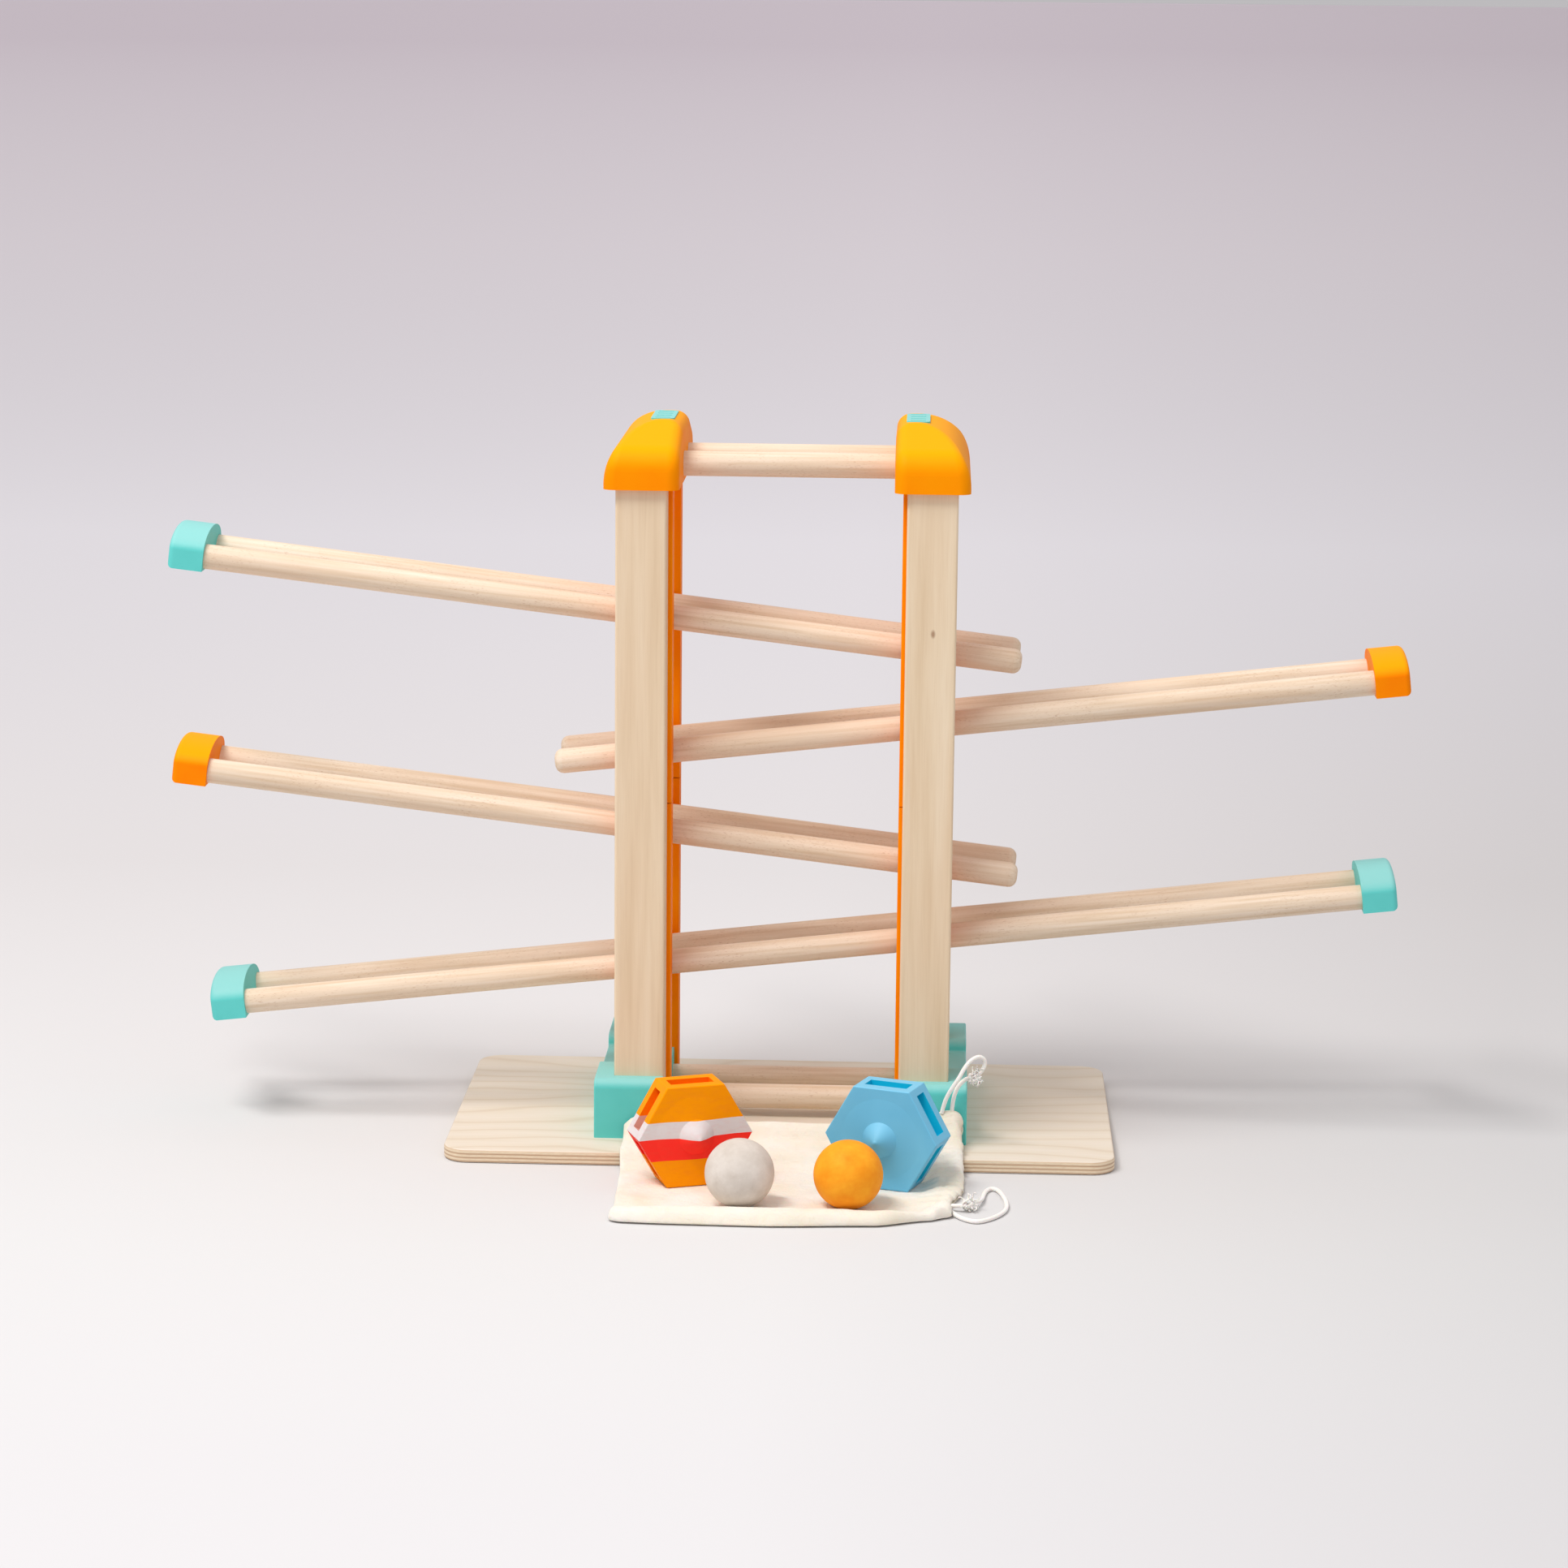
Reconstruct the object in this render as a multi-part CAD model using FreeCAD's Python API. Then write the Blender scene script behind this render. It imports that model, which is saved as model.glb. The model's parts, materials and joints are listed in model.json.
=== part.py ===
import FreeCAD, Part
import math
import os

# A wooden marble run: two columns on a plywood plate carry four sloping pairs of rails.
# Millimetres. The origin is the middle of the plate's underside, +X runs along the rails
# to the right, +Y to the back and +Z up.

# Plate
PLATE_LENGTH = 400.0
PLATE_DEPTH = 220.0
PLATE_THICKNESS = 8.0
PLATE_CORNER = 15.0
PLATE_EDGE = 1.2

# Columns: the front column's faces as distances from the middle plane, mirrored to the back
BOARD_INNER_X = 70.5
FOOT_INNER_X = BOARD_INNER_X
FOOT_OUTER_X = 111.8
FOOT_HALF_DEPTH = 78.9
FOOT_TOP = 44.0
FOOT_SHOULDER = 5.5
FOOT_EDGE = 1.0
TROUGH_FLOOR = 36.0
TROUGH_CORNER = 2.0
BOARD_WIDTH = 30.0
BOARD_THICKNESS = 20.0
BOARD_BOTTOM = 32.0
BOARD_TOP = 412.0
BOARD_EDGE = 1.5
STRIP_FACE_Y = 31.5
STRIP_THICKNESS = 16.5
STRIP_INNER_X = 68.0
STRIP_WIDTH = 30.0
STRIP_SEAM = 207.5
STRIP_SEAM_GAP = 0.6
STRIP_TOP = 405.5
STRIP_EDGE = 0.8
TONGUE_BOTTOM = 10.0
STRIP_BACK_Y = STRIP_FACE_Y + STRIP_THICKNESS
BOARD_BACK_Y = STRIP_BACK_Y + BOARD_THICKNESS
BOARD_MIDDLE_X = BOARD_INNER_X + BOARD_WIDTH / 2
BOARD_MIDDLE_Y = STRIP_BACK_Y + BOARD_THICKNESS / 2

# Dowels
ROD_RADIUS = 7.5
ROD_NOSE = 5.0
RAIL_HALF_SPACING = 21.5
SLOPE = 6.55
TOP_BAR_Z = 408.9
TOP_BAR_LENGTH = 164.0
BOTTOM_BAR_Z = 20.2
BOTTOM_BAR_LENGTH = 176.0

# Rail pairs, numbered from the top
RAIL_PITCH = 65.5
LOWEST_RAIL_Z = 111.8
SHORT_ROD = 500.0
SHORT_SOCKET = 6.0
SHORT_OVERHANG = 141.0
LONG_ROD = 700.0
LONG_SOCKET = 9.0
LONG_OFFSET = 9.0

# Clips that hold a rail against a strip
CLIP_X = 83.0
CLIP_LENGTH = 20.0
CLIP_BELOW = 11.0
CLIP_ABOVE = 8.0
CLIP_LOWER_TIP = 17.0
CLIP_UPPER_TIP = 23.5
CLIP_ROOT = 1.0

# End stops
STOP_LENGTH = 21.0
STOP_HALF_WIDTH = 31.0
STOP_BELOW = 8.2
STOP_SHOULDER = 3.5
STOP_ABOVE = 16.4
STOP_OUTER_EDGE = 3.2

# Column caps
CAP_INNER_X = 63.0
CAP_OUTER_X = 107.7
CAP_BOTTOM = 398.4
CAP_TOP = 435.4
CAP_HALF_DEPTH = 72.0
CAP_CROWN_HALF_DEPTH = 28.5
CAP_KNEE_Z = 420.4
CAP_KNEE_RADIUS = 16.0
CAP_CURVE_X = 76.0
CAP_CURVE_Z = 401.0
CAP_INNER_RADIUS = 9.0
CAP_CORNER = 7.0
INLAY_X = 76.0
INLAY_WIDTH = 14.0
INLAY_LENGTH = 46.0
INLAY_BOTTOM = 433.4
INLAY_TOP = 435.7
INLAY_SLOT_WIDTH = 2.4
INLAY_SLOT_LENGTH = 9.0
INLAY_SLOT_PITCH = 11.5
INLAY_SLOT_DEPTH = 0.8
INLAY_SLOTS = 4

# Screws
SCREW_RADIUS = 2.0
SCREW_HEAD_RADIUS = 4.0
SCREW_HEAD_HEIGHT = 2.6
SCREW_RECESS = 0.4
BOARD_SCREW_TIP = 66.0
FOOT_SCREW_TIP = 26.0
FOOT_SCREW_X = (80.0, 101.0)
STRIP_SCREW_RADIUS = 1.75
STRIP_SCREW_HEAD_RADIUS = 3.5
STRIP_SCREW_LENGTH = 26.0
LOWER_STRIP_SCREW_Z = (70.0, 145.0)
UPPER_STRIP_SCREW_Z = (275.0, 368.0)

# Loose pieces: balls, cone wheels and the drawstring bag that they lie on
BAG_THICKNESS = 2.0
REST_GAP = 0.3
BALL_RADIUS = 20.0
GREY_BALL = (-18.6, -194.7)
ORANGE_BALL = (43.6, -193.5)
WHEEL_FLAT_RADIUS = 30.0
WHEEL_THICKNESS = 25.0
WHEEL_TURN = 20.3
WHEEL_EDGE = 0.7
STRIPED_WHEEL = (-50.3, -143.9)
BLUE_WHEEL = (65.5, -142.8)
CONE_FLARE_RADIUS = 24.0
CONE_FOOT_RADIUS = 10.5
CONE_FOOT_HEIGHT = 1.6
CONE_HEIGHT = 10.0
CONE_TIP_RADIUS = 1.6
CONE_FLARE = (15.5, 0.75)
CONE_WAIST = (8.3, 3.6)
CONE_SHOULDER = (5.2, 7.2)
SLOT_LENGTH = 26.0
SLOT_WIDTH = 10.5
SLOT_DEPTH = 4.6
BAG_LEFT_X = -92.0
BAG_RIGHT_X = 111.0
BAG_MOUTH_WIDTH = 16.0
BAG_PLATE_GAP = 0.4
BAG_FOOT_GAP = 1.5
BAG_FRONT_Y = -228.0
BAG_OUTLINE = [(-91, -224), (0, -227), (60, -222), (101, -200), (111, -150)]
CLOTH_TOP = [(0.0, 22.0), (-4.0, 21.0), (-11.0, 11.5), (-32.6, 11.0), (-38.6, 2.0)]
MOUTH_TOP = [(0.0, 31.0), (-6.0, 30.0), (-15.0, 20.0), (-32.6, 16.0), (-42.6, 7.0)]
MOUTH_FRONT_HEIGHT = 5.0
CORD_RADIUS = 1.25
KNOT_RADIUS = 3.6
ARC_SHARE = 0.45
UPPER_CORD = [
    (96.8, -86.0, 29.5), (98.2, -86.8, 36.0), (100.6, -87.8, 42.0), (104.0, -88.0, 47.6),
    (107.0, -87.6, 52.2), (109.7, -86.0, 57.4), (113.6, -83.6, 62.0), (118.8, -81.0, 64.0),
    (122.6, -79.3, 60.6), (121.2, -79.4, 55.2), (116.6, -80.8, 50.8), (111.3, -82.4, 50.4),
    (107.0, -83.4, 46.8), (104.4, -84.0, 41.5), (103.2, -84.0, 35.5), (102.8, -84.0, 29.5),
]
LOWER_CORD = [
    (100.5, -190.0, 2.4), (104.0, -198.0, 1.6), (109.2, -206.5, 1.35), (116.8, -212.3, 1.35),
    (123.8, -207.0, 1.35), (130.6, -197.5, 1.35), (134.6, -186.2, 1.35), (134.8, -173.6, 1.35),
    (133.0, -160.0, 1.35), (130.0, -147.8, 1.35), (125.6, -145.0, 1.35), (122.4, -152.5, 1.35),
    (121.2, -163.0, 1.5), (120.4, -173.0, 2.6), (116.5, -183.0, 3.8), (109.5, -190.0, 3.8),
    (103.0, -187.0, 3.0),
]
UPPER_KNOT = (116.0, -81.0, 50.6)
LOWER_KNOT = (113.4, -186.2, 4.0)

# How far a cutting tool runs past the face that it opens, and how near counts as the same place
PAST = 1.0
NEAR = 0.01

os.makedirs("parts", exist_ok=True)
X_AXIS = FreeCAD.Vector(1, 0, 0)
Y_AXIS = FreeCAD.Vector(0, 1, 0)
Z_AXIS = FreeCAD.Vector(0, 0, 1)
ORIGIN = FreeCAD.Vector(0, 0, 0)


def export(name, shape):
    if not shape.isValid():
        raise ValueError("invalid solid: " + name)
    shape.exportStep("parts/" + name + ".step")
    print(name, len(shape.Solids), round(shape.Volume, 1))


def box(x_range, y_range, z_range):
    low = FreeCAD.Vector(min(x_range), min(y_range), min(z_range))
    size = [abs(b - a) for a, b in (x_range, y_range, z_range)]
    return Part.makeBox(size[0], size[1], size[2], low)


def edges_where(shape, test):
    return [edge for edge in shape.Edges if test(edge)]


def runs_along(edge, direction):
    first = edge.Vertexes[0].Point
    last = edge.Vertexes[-1].Point
    span = last - first
    return span.Length > 1e-6 and abs(span.normalize().dot(direction)) > 0.999


def prism(points, direction):
    corners = [FreeCAD.Vector(*point) for point in points]
    outline = Part.makePolygon(corners + corners[:1])
    return Part.Face(outline).extrude(FreeCAD.Vector(*direction))


def curve(*poles):
    """A smooth edge in the XZ plane, steered by points (x, z)."""
    bezier = Part.BezierCurve()
    bezier.setPoles([FreeCAD.Vector(x, 0, z) for x, z in poles])
    return bezier.toShape()


def seat(side, inner_x, width, y_range, z_range):
    """The space that a board or a strip fills inside a foot or a cap."""
    return box((side * inner_x, side * (inner_x + width)), y_range, z_range)


def rod(start, end, radius, nose=0.0):
    """A dowel from start to end, with its far end rounded by nose."""
    axis = FreeCAD.Vector(*end) - FreeCAD.Vector(*start)
    solid = Part.makeCylinder(radius, axis.Length, FreeCAD.Vector(*start), axis)
    if nose:
        tip = FreeCAD.Vector(*end)
        rims = edges_where(solid, lambda e: (e.CenterOfMass - tip).Length < NEAR)
        solid = solid.makeFillet(nose, rims)
    return solid


def countersunk_screw(head, direction, length, radius, head_radius, head_height):
    direction = FreeCAD.Vector(*direction)
    base = FreeCAD.Vector(*head)
    cone = Part.makeCone(head_radius, radius, head_height, base, direction)
    shank_start = base + direction * head_height
    shank = Part.makeCylinder(radius, length - head_height, shank_start, direction)
    return cone.fuse(shank).Solids[0]


# ---------------------------------------------------------------- screws

def board_screws():
    return [countersunk_screw((side * BOARD_MIDDLE_X, depth, SCREW_RECESS), (0, 0, 1),
                              BOARD_SCREW_TIP - SCREW_RECESS, SCREW_RADIUS,
                              SCREW_HEAD_RADIUS, SCREW_HEAD_HEIGHT)
            for side in (-1, 1)
            for depth in (-BOARD_MIDDLE_Y, BOARD_MIDDLE_Y)]


def foot_screws():
    return [countersunk_screw((side * x, 0, SCREW_RECESS), (0, 0, 1), FOOT_SCREW_TIP - SCREW_RECESS,
                              SCREW_RADIUS, SCREW_HEAD_RADIUS, SCREW_HEAD_HEIGHT)
            for side in (-1, 1)
            for x in FOOT_SCREW_X]


def strip_screws():
    return [countersunk_screw((side * BOARD_MIDDLE_X, row * STRIP_FACE_Y, z), (0, row, 0),
                              STRIP_SCREW_LENGTH, STRIP_SCREW_RADIUS,
                              STRIP_SCREW_HEAD_RADIUS, SCREW_HEAD_HEIGHT)
            for side in (-1, 1)
            for row in (-1, 1)
            for z in LOWER_STRIP_SCREW_Z + UPPER_STRIP_SCREW_Z]


def without(solid, cutters):
    for cutter in cutters:
        if cutter.BoundBox.intersect(solid.BoundBox):
            solid = solid.cut(cutter)
    return solid


# ---------------------------------------------------------------- plate and feet

def base_plate():
    plate = box((-PLATE_LENGTH / 2, PLATE_LENGTH / 2), (-PLATE_DEPTH / 2, PLATE_DEPTH / 2),
                (0, PLATE_THICKNESS))
    plate = plate.makeFillet(PLATE_CORNER, edges_where(plate, lambda e: runs_along(e, Z_AXIS)))
    half = PLATE_THICKNESS / 2
    rims = edges_where(plate, lambda e: abs(e.CenterOfMass.z - half) > half - NEAR)
    plate = plate.makeFillet(PLATE_EDGE, rims)
    screws = board_screws() + foot_screws()
    recesses = []
    for screw in screws:
        middle = screw.BoundBox.Center
        place = FreeCAD.Vector(middle.x, middle.y, 0)
        recesses.append(Part.makeCylinder(SCREW_HEAD_RADIUS, SCREW_RECESS, place))
    return without(plate, screws + recesses)


def foot(side):
    """A block with a shallow trough across its top, and sockets for the boards, strips and bars."""
    x_range = (side * FOOT_INNER_X, side * FOOT_OUTER_X)
    block = box(x_range, (-FOOT_HALF_DEPTH, FOOT_HALF_DEPTH), (PLATE_THICKNESS, FOOT_TOP))
    trough = box((side * (FOOT_INNER_X - PAST), side * (FOOT_OUTER_X + PAST)),
                 (-STRIP_FACE_Y, STRIP_FACE_Y), (TROUGH_FLOOR, FOOT_TOP + TROUGH_CORNER + PAST))
    across = edges_where(trough, lambda e: runs_along(e, X_AXIS))
    floor_edges = [edge for edge in across if edge.CenterOfMass.z < TROUGH_FLOOR + NEAR]
    block = block.cut(trough.makeFillet(TROUGH_CORNER, floor_edges))
    across = edges_where(block, lambda e: runs_along(e, X_AXIS))
    shoulders = [edge for edge in across if edge.CenterOfMass.z > FOOT_TOP - NEAR]
    block = block.makeFillet(FOOT_SHOULDER, shoulders)
    outlines = edges_where(block, lambda e: e.BoundBox.XLength < NEAR)
    block = block.makeFillet(FOOT_EDGE, [e for e in outlines if e.CenterOfMass.z > PLATE_THICKNESS + NEAR])
    cutters = []
    for row in (-1, 1):
        cutters.append(seat(side, BOARD_INNER_X, BOARD_WIDTH, (row * STRIP_BACK_Y, row * BOARD_BACK_Y),
                            (BOARD_BOTTOM, FOOT_TOP + PAST)))
        strip_front = row * (STRIP_FACE_Y - TROUGH_CORNER)
        cutters.append(seat(side, STRIP_INNER_X, STRIP_WIDTH, (strip_front, row * STRIP_BACK_Y),
                            (TROUGH_FLOOR, FOOT_TOP + PAST)))
    cutters += [cross_bar(row, BOTTOM_BAR_Z, BOTTOM_BAR_LENGTH) for row in (-1, 1)]
    return without(block, cutters + board_screws() + foot_screws())


def cross_bar(row, z, length):
    y = row * RAIL_HALF_SPACING
    return rod((-length / 2, y, z), (length / 2, y, z), ROD_RADIUS)


# ---------------------------------------------------------------- boards and strips

def board(side, row):
    solid = box((side * BOARD_INNER_X, side * (BOARD_INNER_X + BOARD_WIDTH)),
                (row * STRIP_BACK_Y, row * BOARD_BACK_Y), (BOARD_BOTTOM, BOARD_TOP))
    solid = solid.makeFillet(BOARD_EDGE, edges_where(solid, lambda e: runs_along(e, Z_AXIS)))
    return without(solid, board_screws() + strip_screws())


def rail_placement(number):
    """The frame of a rail pair: its X runs along the rails to the right, its Z away from them."""
    z = LOWEST_RAIL_Z + RAIL_PITCH * (4 - number)
    falls_right = number in (1, 3)
    turn = FreeCAD.Rotation(Y_AXIS, SLOPE if falls_right else -SLOPE)
    return FreeCAD.Placement(FreeCAD.Vector(0, 0, z), turn)


def rail_clip(side, row, number):
    """A printed arm that reaches round the outside of a dowel, as a solid with the dowel's groove."""
    middle = side * CLIP_X / math.cos(math.radians(SLOPE))
    x_range = (middle - CLIP_LENGTH / 2, middle + CLIP_LENGTH / 2)
    root = row * (STRIP_FACE_Y + CLIP_ROOT)
    lower = box(x_range, (root, row * CLIP_LOWER_TIP), (-CLIP_BELOW, 0))
    upper = box(x_range, (root, row * CLIP_UPPER_TIP), (0, CLIP_ABOVE))
    y = row * RAIL_HALF_SPACING
    groove = rod((x_range[0] - PAST, y, 0), (x_range[1] + PAST, y, 0), ROD_RADIUS)
    clip = lower.fuse(upper).removeSplitter().cut(groove)
    clip.Placement = rail_placement(number)
    return clip


def strip(side, row, upper):
    """A strip behind a board; the lower one ends in a tongue down the foot's inner face."""
    if upper:
        z_range = (STRIP_SEAM + STRIP_SEAM_GAP / 2, STRIP_TOP)
        rail_numbers = (1, 2)
    else:
        z_range = (TROUGH_FLOOR, STRIP_SEAM - STRIP_SEAM_GAP / 2)
        rail_numbers = (3, 4)
    y_range = (row * STRIP_FACE_Y, row * STRIP_BACK_Y)
    bar = seat(side, STRIP_INNER_X, STRIP_WIDTH, y_range, z_range)
    if not upper:
        tongue = seat(side, STRIP_INNER_X, FOOT_INNER_X - STRIP_INNER_X, y_range,
                      (TONGUE_BOTTOM, TROUGH_FLOOR + PAST))
        bar = bar.fuse(tongue).removeSplitter()
    uprights = edges_where(bar, lambda e: runs_along(e, Z_AXIS))
    lip = [edge for edge in uprights if abs(abs(edge.CenterOfMass.x) - STRIP_INNER_X) < NEAR]
    bar = bar.makeFillet(STRIP_EDGE, lip)
    for number in rail_numbers:
        bar = bar.fuse(rail_clip(side, row, number))
    return without(bar.removeSplitter(), strip_screws())


# ---------------------------------------------------------------- caps and inlays

def cap_outline(side):
    """The cap's front view: a long curve on the outside, a short rounded corner inside."""
    width = CAP_OUTER_X - CAP_CURVE_X
    height = CAP_TOP - CAP_CURVE_Z
    centre = FreeCAD.Vector(side * CAP_CURVE_X, 0, CAP_CURVE_Z)
    outer_point = centre + FreeCAD.Vector(side * width, 0, 0)
    crown_point = centre + FreeCAD.Vector(0, 0, height)
    ellipse = Part.Ellipse(crown_point, outer_point, centre)
    first = ellipse.parameter(crown_point)
    last = ellipse.parameter(outer_point)
    arc = Part.ArcOfEllipse(ellipse, min(first, last), max(first, last))
    if arc.length() > width + height:
        arc = Part.ArcOfEllipse(ellipse, max(first, last), min(first, last) + 2 * math.pi)
    inner_x = side * CAP_INNER_X
    round_start = FreeCAD.Vector(inner_x, 0, CAP_TOP - CAP_INNER_RADIUS)
    round_end = FreeCAD.Vector(inner_x + side * CAP_INNER_RADIUS, 0, CAP_TOP)
    reach = CAP_INNER_RADIUS * (1 - math.sqrt(0.5))
    round_middle = FreeCAD.Vector(inner_x + side * reach, 0, CAP_TOP - reach)
    bottom_inner = FreeCAD.Vector(inner_x, 0, CAP_BOTTOM)
    bottom_outer = FreeCAD.Vector(side * CAP_OUTER_X, 0, CAP_BOTTOM)
    edges = [
        Part.makeLine(bottom_outer, outer_point),
        arc.toShape(),
        Part.makeLine(crown_point, round_end),
        Part.Arc(round_end, round_middle, round_start).toShape(),
        Part.makeLine(round_start, bottom_inner),
        Part.makeLine(bottom_inner, bottom_outer),
    ]
    return Part.Face(Part.Wire(Part.__sortEdges__(edges)))


def cap(side):
    half, crown = CAP_HALF_DEPTH, CAP_CROWN_HALF_DEPTH
    body = cap_outline(side)
    body.translate(FreeCAD.Vector(0, -half - PAST, 0))
    body = body.extrude(FreeCAD.Vector(0, 2 * (half + PAST), 0))
    x = side * CAP_INNER_X
    side_view = prism([(x, -half, CAP_BOTTOM), (x, -half, CAP_KNEE_Z), (x, -crown, CAP_TOP),
                       (x, crown, CAP_TOP), (x, half, CAP_KNEE_Z), (x, half, CAP_BOTTOM)],
                      (side * (CAP_OUTER_X - CAP_INNER_X), 0, 0))
    across = edges_where(side_view, lambda e: runs_along(e, X_AXIS))
    knees = [edge for edge in across if abs(edge.CenterOfMass.z - CAP_KNEE_Z) < NEAR]
    side_view = side_view.makeFillet(CAP_KNEE_RADIUS, knees)
    solid = body.common(side_view)
    solid = solid.makeFillet(CAP_CORNER, edges_where(solid, lambda e: e.BoundBox.ZLength > NEAR))
    cutters = [inlay_blank(side)]
    for row in (-1, 1):
        cutters.append(seat(side, BOARD_INNER_X, BOARD_WIDTH, (row * STRIP_BACK_Y, row * BOARD_BACK_Y),
                            (CAP_BOTTOM - PAST, BOARD_TOP)))
        cutters.append(seat(side, STRIP_INNER_X, STRIP_WIDTH, (row * STRIP_FACE_Y, row * STRIP_BACK_Y),
                            (CAP_BOTTOM - PAST, STRIP_TOP)))
        cutters.append(cross_bar(row, TOP_BAR_Z, TOP_BAR_LENGTH))
    return without(solid, cutters)


def inlay_blank(side):
    blank = box((side * (INLAY_X - INLAY_WIDTH / 2), side * (INLAY_X + INLAY_WIDTH / 2)),
                (-INLAY_LENGTH / 2, INLAY_LENGTH / 2), (INLAY_BOTTOM, INLAY_TOP))
    return blank.makeFillet(INLAY_WIDTH / 4, edges_where(blank, lambda e: runs_along(e, Z_AXIS)))


def inlay(side):
    """A plain plaque with a row of short cross grooves."""
    solid = inlay_blank(side)
    half_length, half_width = INLAY_SLOT_LENGTH / 2, INLAY_SLOT_WIDTH / 2
    for index in range(INLAY_SLOTS):
        x = side * INLAY_X
        y = (index - (INLAY_SLOTS - 1) / 2) * INLAY_SLOT_PITCH
        groove = box((x - half_length, x + half_length), (y - half_width, y + half_width),
                     (INLAY_TOP - INLAY_SLOT_DEPTH, INLAY_TOP + PAST))
        solid = solid.cut(groove)
    return solid


# ---------------------------------------------------------------- rails and end stops

def short_rail(number, row):
    """Rails 1 and 3 are capped on the left and rail 2 on the right; the other end is free."""
    toward_free = 1 if number in (1, 3) else -1
    free = toward_free * SHORT_OVERHANG
    y = row * RAIL_HALF_SPACING
    solid = rod((free - toward_free * SHORT_ROD, y, 0), (free, y, 0), ROD_RADIUS, ROD_NOSE)
    solid.Placement = rail_placement(number)
    return solid


def long_rail(row):
    y = row * RAIL_HALF_SPACING
    solid = rod((LONG_OFFSET - LONG_ROD / 2, y, 0), (LONG_OFFSET + LONG_ROD / 2, y, 0), ROD_RADIUS)
    solid.Placement = rail_placement(4)
    return solid


def end_stop(number, outward, rod_end, socket):
    """An arched block over the ends of a rail pair, outward along the rail's own X."""
    inner = rod_end - outward * socket
    width, low, shoulder = STOP_HALF_WIDTH, -STOP_BELOW, STOP_SHOULDER
    centre = FreeCAD.Vector(inner, 0, shoulder)
    right = FreeCAD.Vector(inner, width, shoulder)
    left = FreeCAD.Vector(inner, -width, shoulder)
    crown = FreeCAD.Vector(inner, 0, STOP_ABOVE)
    ellipse = Part.Ellipse(right, crown, centre)
    arch = [edge for edge in (Part.ArcOfEllipse(ellipse, 0, math.pi).toShape(),
                              Part.ArcOfEllipse(ellipse, math.pi, 2 * math.pi).toShape())
            if edge.CenterOfMass.z > shoulder]
    corner_right = FreeCAD.Vector(inner, width, low)
    corner_left = FreeCAD.Vector(inner, -width, low)
    edges = arch + [Part.makeLine(right, corner_right), Part.makeLine(corner_right, corner_left),
                    Part.makeLine(corner_left, left)]
    face = Part.Face(Part.Wire(Part.__sortEdges__(edges)))
    block = face.extrude(FreeCAD.Vector(outward * STOP_LENGTH, 0, 0))
    outer_x = inner + outward * STOP_LENGTH
    rim = edges_where(block, lambda e: abs(e.CenterOfMass.x - outer_x) < NEAR)
    block = block.makeFillet(STOP_OUTER_EDGE, rim)
    for row in (-1, 1):
        y = row * RAIL_HALF_SPACING
        block = block.cut(rod((inner - outward * PAST, y, 0), (rod_end, y, 0), ROD_RADIUS))
    block.Placement = rail_placement(number)
    return block


# ---------------------------------------------------------------- balls and cone wheels

def ball(place):
    centre = FreeCAD.Vector(place[0], place[1], BAG_THICKNESS + REST_GAP + BALL_RADIUS)
    return Part.makeSphere(BALL_RADIUS, centre)


def cone_boss():
    """The flared cone on a wheel's face, from the face at Z 0 along +Z."""
    rim = (CONE_FLARE_RADIUS, 0)
    foot_point = (CONE_FOOT_RADIUS, CONE_FOOT_HEIGHT)
    tip_edge = (CONE_TIP_RADIUS, CONE_HEIGHT - CONE_TIP_RADIUS / 2)
    tip = (0, CONE_HEIGHT)
    sink = FreeCAD.Vector(0, 0, -PAST)
    rim_top = FreeCAD.Vector(CONE_FLARE_RADIUS, 0, 0)
    edges = [curve(rim, CONE_FLARE, foot_point), curve(foot_point, CONE_WAIST, CONE_SHOULDER, tip_edge),
             curve(tip_edge, (CONE_TIP_RADIUS / 2, CONE_HEIGHT), tip),
             Part.makeLine(FreeCAD.Vector(0, 0, CONE_HEIGHT), sink),
             Part.makeLine(sink, rim_top + sink), Part.makeLine(rim_top + sink, rim_top)]
    return Part.Face(Part.Wire(edges)).revolve(ORIGIN, Z_AXIS, 360)


def cone_wheel(place, turn):
    """A hexagonal wheel with a cone on each face and a slot in each of its six sides."""
    corner = WHEEL_FLAT_RADIUS / math.cos(math.pi / 6)
    angles = [k * math.pi / 3 for k in range(6)]
    corners = [(corner * math.cos(angle), -WHEEL_THICKNESS / 2, corner * math.sin(angle)) for angle in angles]
    solid = prism(corners, (0, WHEEL_THICKNESS, 0))
    solid = solid.makeFillet(WHEEL_EDGE, solid.Edges)
    slot = box((-SLOT_LENGTH / 2, SLOT_LENGTH / 2), (-SLOT_WIDTH / 2, SLOT_WIDTH / 2),
               (WHEEL_FLAT_RADIUS - SLOT_DEPTH, WHEEL_FLAT_RADIUS + PAST))
    for k in range(6):
        cutter = slot.copy()
        cutter.rotate(ORIGIN, Y_AXIS, 60 * k)
        solid = solid.cut(cutter)
    for facing in (-1, 1):
        boss = cone_boss()
        boss.rotate(ORIGIN, X_AXIS, -90 * facing)
        boss.translate(FreeCAD.Vector(0, facing * WHEEL_THICKNESS / 2, 0))
        solid = solid.fuse(boss)
    solid = solid.removeSplitter()
    solid.rotate(ORIGIN, Z_AXIS, turn)
    height = BAG_THICKNESS + REST_GAP + WHEEL_FLAT_RADIUS
    solid.translate(FreeCAD.Vector(place[0], place[1], height))
    return solid


# ---------------------------------------------------------------- bag and drawcords

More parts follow.
